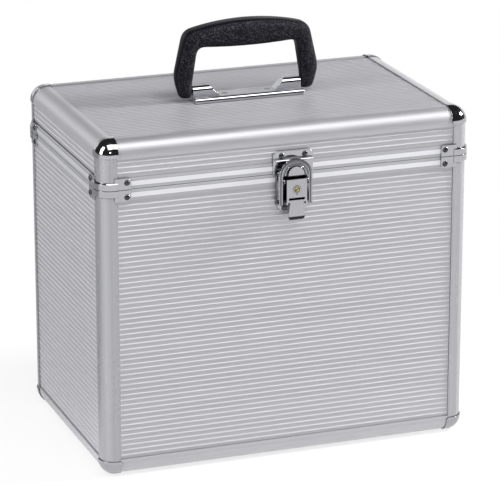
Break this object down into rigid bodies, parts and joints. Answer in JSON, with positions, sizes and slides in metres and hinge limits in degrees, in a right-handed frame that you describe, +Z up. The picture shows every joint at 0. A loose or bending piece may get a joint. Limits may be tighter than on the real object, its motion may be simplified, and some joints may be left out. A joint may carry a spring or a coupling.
{
  "type": "record carrying case",
  "caption": "Rectangular metal-edged carrying case for vinyl records, with ribbed panels, a hinged lid, ball corners, a locking draw latch and a folding carrying handle.",
  "frame": {"origin": "bottom centre of the case's overall box, on the surface it stands on", "axes": "+X to the case's right seen from the front, +Y from the front to the back, +Z up; the latch is on the -Y side and the hinges are on the +Y side"},
  "size_m": [0.3778, 0.2568, 0.4074],
  "materials": {
    "laminate": "ribbed silver laminate sheet, satin",
    "profile": "extruded, satin anodised",
    "chrome": "pressed steel, bright plated",
    "pins": "turned steel, bare",
    "brass": "turned and polished",
    "grip": "moulded, fine leather-like grain on the flanks, smooth rim",
    "foam": "closed-cell foam sheet with a soft face"
  },
  "bodies": {
    "case_body": {"body_front_panel": "laminate", "body_rear_panel": "laminate", "body_left_panel": "laminate", "body_right_panel": "laminate", "body_bottom_panel": "laminate", "body_upright_extrusion_front_left": "profile", "body_upright_extrusion_front_right": "profile", "body_upright_extrusion_rear_left": "profile", "body_upright_extrusion_rear_right": "profile", "bottom_edge_extrusion_front": "profile", "bottom_edge_extrusion_rear": "profile", "bottom_edge_extrusion_left": "profile", "bottom_edge_extrusion_right": "profile", "body_rim_front": "profile", "body_rim_rear": "profile", "body_rim_left": "profile", "body_rim_right": "profile", "bottom_corner_caps": "chrome", "body_corner_braces": "chrome", "body_brace_rivets": "chrome", "body_lining_walls": "foam", "body_lining_floor": "foam", "hinge_body_leaves": "chrome", "hinge_pins": "pins", "hinge_body_rivets": "chrome", "latch_base": "chrome", "latch_base_rivets": "chrome", "latch_pivot_pin": "pins"},
    "lid": {"lid_front_panel": "laminate", "lid_rear_panel": "laminate", "lid_left_panel": "laminate", "lid_right_panel": "laminate", "lid_top_panel": "laminate", "lid_upright_extrusions": "profile", "top_edge_extrusion_front": "profile", "top_edge_extrusion_rear": "profile", "top_edge_extrusion_left": "profile", "top_edge_extrusion_right": "profile", "lid_rim_front": "profile", "lid_rim_rear": "profile", "lid_rim_left": "profile", "lid_rim_right": "profile", "top_corner_caps": "chrome", "lid_corner_braces": "chrome", "lid_brace_rivets": "chrome", "lid_lining": "foam", "hinge_lid_leaves": "chrome", "hinge_lid_rivets": "chrome", "latch_strike": "chrome", "strike_rivets": "chrome", "handle_plate": "chrome", "handle_plate_rivets": "chrome"},
    "handle": {"handle_grip": "grip", "handle_pins": "pins"},
    "latch_lever": {"latch_lever": "chrome", "latch_bail_pin": "pins"},
    "latch_bail": {"latch_bail": "chrome"},
    "latch_lock": {"lock_cylinder": "brass", "lock_cam": "chrome"}
  },
  "joints": [
    {"name": "lid_hinge", "type": "hinge", "parent": "case_body", "child": "lid", "pos_m": [0, 0.12275, 0.285], "axis": [-1, 0, 0], "range_deg": [0, 95]},
    {"name": "handle_fold", "type": "hinge", "parent": "lid", "child": "handle", "pos_m": [0, 0.00165, 0.3402], "axis": [1, 0, 0], "range_deg": [-87, 87]},
    {"name": "latch_lever_swing", "type": "hinge", "parent": "case_body", "child": "latch_lever", "pos_m": [0.004, -0.12335, 0.2785], "axis": [-1, 0, 0], "range_deg": [0, 150]},
    {"name": "latch_bail_swing", "type": "hinge", "parent": "latch_lever", "child": "latch_bail", "pos_m": [0.004, -0.12035, 0.2587], "axis": [1, 0, 0], "range_deg": [0, 180]},
    {"name": "lock_turn", "type": "hinge", "parent": "latch_lever", "child": "latch_lock", "pos_m": [0.004, -0.12785, 0.2716], "axis": [0, -1, 0], "range_deg": [0, 90]}
  ],
  "couplings": [
    {"joint": "latch_bail_swing", "follows": "latch_lever_swing", "ratio": 1.2}
  ]
}
